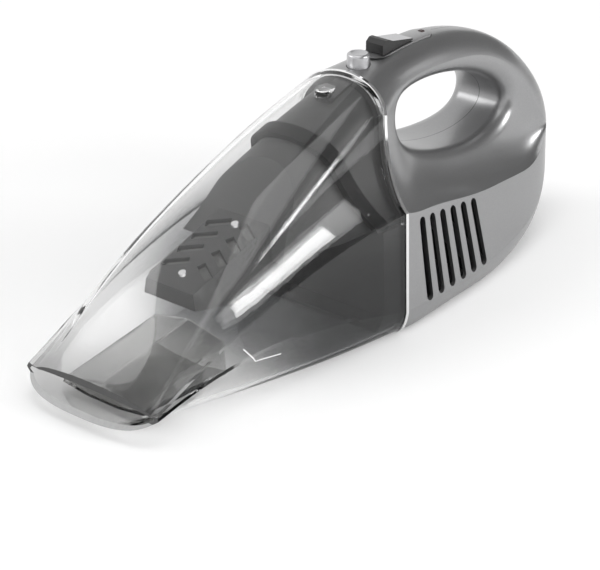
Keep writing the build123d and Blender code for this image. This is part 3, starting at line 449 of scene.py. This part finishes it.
def paint_cap_reflection(node, finish):
    """Paints a reflection: gives the sloping top of the slider, behind its nose, a pale second
    finish.
    """
    mesh = nodes[node].data
    mesh.materials.append(finish)
    box_low, box_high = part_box(node)
    nose_end = box_low[0] + NOSE_SHARE * (box_high[0] - box_low[0])
    for face in mesh.polygons:
        if face.normal.z > CAP_FACING and face.center.x > nose_end:
            face.material_index = 1


# Painted reflection on the slider's top
paint_cap_reflection("power_slider", pale_silver_and_reflection)


def paint_lip_light():
    """Paints light and shade on the cut edges of the mouth: painted shade above, painted light
    below.
    """
    mesh = nodes["dust_container"].data
    mesh.materials.append(lip_painted_shade)
    mesh.materials.append(lip_painted_light)
    mouth_end = cad_low[0] + MOUTH_DEPTH
    ahead = [
        face for face in mesh.polygons
        if face.center.x < mouth_end and abs(face.normal.y) < LIP_SIDE_LIMIT
    ]
    least, most = LOWER_LIP_FACING
    facing = [face for face in ahead if least < -face.normal.x < most]
    lower = min(facing, key=lambda face: face.center.z)
    for face in ahead:
        if -face.normal.x > UPPER_LIP_FACING:
            face.material_index = 1
        elif abs(lower.normal.dot(face.center - lower.center)) < LIP_PLANE_SLACK:
            face.material_index = 2


def rubber_lip():
    """Gives the filter's flange the rubber of the seal that wraps over it."""
    mesh = nodes["filter_frame"].data
    mesh.materials.append(rubber)
    seal_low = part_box("filter_seal")[0]
    tilt = math.radians(SEAL_TILT)
    lean = Vector((math.cos(tilt), 0.0, math.sin(tilt)))
    seal_front = min(lean.dot(v.co) for v in nodes["filter_seal"].data.vertices)
    for face in mesh.polygons:
        ahead = seal_front - lean.dot(face.center)
        in_flange = -FLANGE_SLACK < ahead < FLANGE_THICKNESS + FLANGE_SLACK
        if in_flange and abs(face.center.z - seal_low[2]) > FLANGE_FOOT:
            face.material_index = 1


def runs_of(edges):
    """Joins edges, given as pairs of places, into runs of places."""
    links = {}
    for one, other in edges:
        links.setdefault(one, set()).add(other)
        links.setdefault(other, set()).add(one)
    runs = []
    while links:
        here = min(links, key=lambda place: (len(links[place]), place))
        run = [here]
        while links[here]:
            there = min(links[here])
            links[here].remove(there)
            links[there].remove(here)
            run.append(there)
            here = there
        runs.append(run)
        links = {place: near for place, near in links.items() if near}
    return runs


def parting_seam():
    """Thin dark line along the outer edge of the joint between the two shells."""
    mesh = nodes["housing_left"].data
    places = [tuple(round(value, PLACE_DIGITS) for value in vertex.co) for vertex in mesh.vertices]
    flat = set()
    outer = set()
    outward = {}
    for face in mesh.polygons:
        on_seam = abs(face.normal.y) > SEAM_FACING and abs(face.center.y) < SEAM_SLACK
        for key in face.edge_keys:
            edge = tuple(sorted(places[n] for n in key))
            if on_seam:
                flat.add(edge)
            elif face.material_index == 0:
                outer.add(edge)
                for place in edge:
                    outward[place] = outward.get(place, Vector()) + face.normal
    edges = sorted(edge for edge in flat & outer if all(place[2] > SEAM_FOOT for place in edge))
    curve = bpy.data.curves.new("parting_seam", "CURVE")
    curve.dimensions = "3D"
    curve.bevel_depth = SEAM_RADIUS
    curve.bevel_resolution = 1
    curve.use_fill_caps = True
    for run in runs_of(edges):
        spline = curve.splines.new("POLY")
        spline.points.add(len(run) - 1)
        for point, place in zip(spline.points, run):
            sunk = Vector(place) - outward[place].normalized() * SEAM_SINK * SEAM_RADIUS
            reach_x = min(sunk.x, cad_high[0] - SEAM_RADIUS)
            reach_z = min(sunk.z, cad_high[2] - SEAM_RADIUS)
            point.co = (reach_x, 0.0, reach_z, 1.0)
    curve.materials.append(seam_dark)
    seam = bpy.data.objects.new("parting_seam", curve)
    bpy.context.scene.collection.objects.link(seam)
    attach(seam, "housing")


def fill_mark():
    """Printed L-shaped fill mark that lies on the container's near wall."""
    tree = BVHTree.FromObject(nodes["dust_container"], bpy.context.evaluated_depsgraph_get())
    verts = []
    faces = []
    for start, end in zip(MARK_PLACES, MARK_PLACES[1:]):
        start = Vector(start)
        end = Vector(end)
        run = (end - start).normalized()
        across = Vector((-run.y, run.x)) * MARK_WIDTH / 2
        for step in range(MARK_STEPS + 1):
            middle = start + (end - start) * step / MARK_STEPS
            for place in (middle - across, middle + across):
                ray_start = Vector((place.x, MARK_RAY_Y, place.y))
                hit, normal = tree.ray_cast(ray_start, Vector((0, 1, 0)))[:2]
                verts.append(hit + normal * MARK_LIFT)
            if step:
                last = len(verts)
                faces.append((last - 4, last - 3, last - 1, last - 2))
    mesh = bpy.data.meshes.new("fill_mark")
    mesh.from_pydata(verts, [], faces)
    mesh.materials.append(mark_white)
    mark = bpy.data.objects.new("fill_mark", mesh)
    bpy.context.scene.collection.objects.link(mark)
    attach(mark, "container")


# Painted shade and light on the mouth's lips
paint_lip_light()
rubber_lip()
parting_seam()
fill_mark()


# Stage: floor, surround, lamps, panels and camera
def floor_finish():
    """White matt floor, which keeps the shadow."""
    made, tree, shader = material("floor")
    cloud = noise(tree, FLOOR_CLOUD_SCALE, CLOUD_DETAIL)
    tree.links.new(two_shades(tree, cloud, FLOOR_WHITE, FLOOR_LIGHT), shader.inputs["Base Color"])
    shader.inputs["Roughness"].default_value = MATT
    shader.inputs["Specular IOR Level"].default_value = 0.0
    place = tree.nodes.new("ShaderNodeTexCoord")
    away = tree.nodes.new("ShaderNodeVectorMath")
    away.operation = "LENGTH"
    tree.links.new(place.outputs["Object"], away.inputs[0])
    level = tree.nodes.new("ShaderNodeMapRange")
    level.inputs["From Min"].default_value = GLOW_START
    level.inputs["From Max"].default_value = GLOW_END
    level.inputs["To Min"].default_value = FLOOR_GLOW
    level.inputs["To Max"].default_value = FAR_GLOW
    tree.links.new(away.outputs["Value"], level.inputs["Value"])
    path = tree.nodes.new("ShaderNodeLightPath")
    glow = None
    for ray in ("Is Camera Ray", "Is Glossy Ray", "Is Transmission Ray"):
        add = tree.nodes.new("ShaderNodeMath")
        add.operation = "MULTIPLY_ADD"
        add.inputs[2].default_value = 0.0
        tree.links.new(path.outputs[ray], add.inputs[0])
        tree.links.new(level.outputs["Result"], add.inputs[1])
        if glow:
            tree.links.new(glow, add.inputs[2])
        glow = add.outputs["Value"]
    shader.inputs["Emission Color"].default_value = WHITE
    tree.links.new(glow, shader.inputs["Emission Strength"])
    return made


bpy.ops.mesh.primitive_plane_add(size=FLOOR_SIZE, location=(0, 0, cad_low.z - FLOOR_DROP))
floor = bpy.context.object
floor.name = "floor"
floor.data.materials.append(floor_finish())


def sky():
    """Even studio surround: white to the camera and in reflections, softer as light."""
    world = bpy.data.worlds.new("studio")
    bpy.context.scene.world = world
    world.use_nodes = True
    tree = world.node_tree
    output = tree.nodes["World Output"]
    light = tree.nodes["Background"]
    light.inputs["Color"].default_value = WHITE
    light.inputs["Strength"].default_value = SKY_STRENGTH
    white = tree.nodes.new("ShaderNodeBackground")
    white.inputs["Color"].default_value = WHITE
    white.inputs["Strength"].default_value = 1.0
    path = tree.nodes.new("ShaderNodeLightPath")
    seen = tree.nodes.new("ShaderNodeMath")
    seen.operation = "MAXIMUM"
    tree.links.new(path.outputs["Is Camera Ray"], seen.inputs[0])
    tree.links.new(path.outputs["Is Transmission Ray"], seen.inputs[1])
    either = tree.nodes.new("ShaderNodeMath")
    either.operation = "MAXIMUM"
    tree.links.new(seen.outputs["Value"], either.inputs[0])
    tree.links.new(path.outputs["Is Glossy Ray"], either.inputs[1])
    mix = tree.nodes.new("ShaderNodeMixShader")
    tree.links.new(either.outputs["Value"], mix.inputs["Fac"])
    tree.links.new(light.outputs["Background"], mix.inputs[1])
    tree.links.new(white.outputs["Background"], mix.inputs[2])
    tree.links.new(mix.outputs["Shader"], output.inputs["Surface"])


def aim(thing, place, target):
    """Puts a lamp or panel at a place, looking at a target."""
    thing.location = place
    thing.rotation_mode = "QUATERNION"
    thing.rotation_quaternion = (Vector(target) - Vector(place)).to_track_quat("-Z", "Y")


def softbox(name, place, target, size, power):
    """Rectangular area lamp that looks at a point."""
    data = bpy.data.lights.new(name, "AREA")
    data.shape = "RECTANGLE"
    data.size, data.size_y = size
    data.energy = power
    lamp_object = bpy.data.objects.new(name, data)
    aim(lamp_object, place, target)
    bpy.context.scene.collection.objects.link(lamp_object)


def dark_card(name, place, target, size):
    """Grey panel that only shows in reflections, like the unlit part of a studio."""
    made, tree, shader = material(name)
    cloud = noise(tree, CARD_CLOUD_SCALE, CLOUD_DETAIL)
    tree.links.new(two_shades(tree, cloud, CARD_GREY, CARD_LIGHT), shader.inputs["Base Color"])
    shader.inputs["Roughness"].default_value = MATT
    mesh = bpy.data.meshes.new(name)
    half_x, half_y = size[0] / 2, size[1] / 2
    corners = (
        (-half_x, -half_y, 0), (half_x, -half_y, 0), (half_x, half_y, 0), (-half_x, half_y, 0)
    )
    mesh.from_pydata(corners, [], ((0, 1, 2, 3),))
    mesh.materials.append(made)
    card = bpy.data.objects.new(name, mesh)
    aim(card, place, target)
    card.visible_camera = False
    card.visible_diffuse = False
    card.visible_shadow = False
    card.visible_transmission = False
    bpy.context.scene.collection.objects.link(card)


sky()
for name, place, size, power in LAMPS:
    softbox(name, place, LAMP_TARGET, size, power)
for name, place, target, size in CARDS:
    dark_card(name, place, target, size)


def look_from(azimuth, elevation):
    """Unit vector from the object towards a viewer."""
    turn = math.radians(azimuth)
    lift = math.radians(elevation)
    level = math.cos(lift)
    return Vector((math.sin(turn) * level, -math.cos(turn) * level, math.sin(lift)))


camera = bpy.data.objects.new("camera", bpy.data.cameras.new("camera"))
camera.data.lens = CAMERA_LENS
camera.data.sensor_width = SENSOR_WIDTH
back = look_from(CAMERA_AZIMUTH, CAMERA_ELEVATION)
camera.location = CAMERA_TARGET + back * CAMERA_DISTANCE
camera.rotation_mode = "QUATERNION"
camera.rotation_quaternion = (-back).to_track_quat("-Z", "Y")
bpy.context.scene.collection.objects.link(camera)
bpy.context.scene.camera = camera

bpy.context.scene.view_settings.view_transform = "Standard"
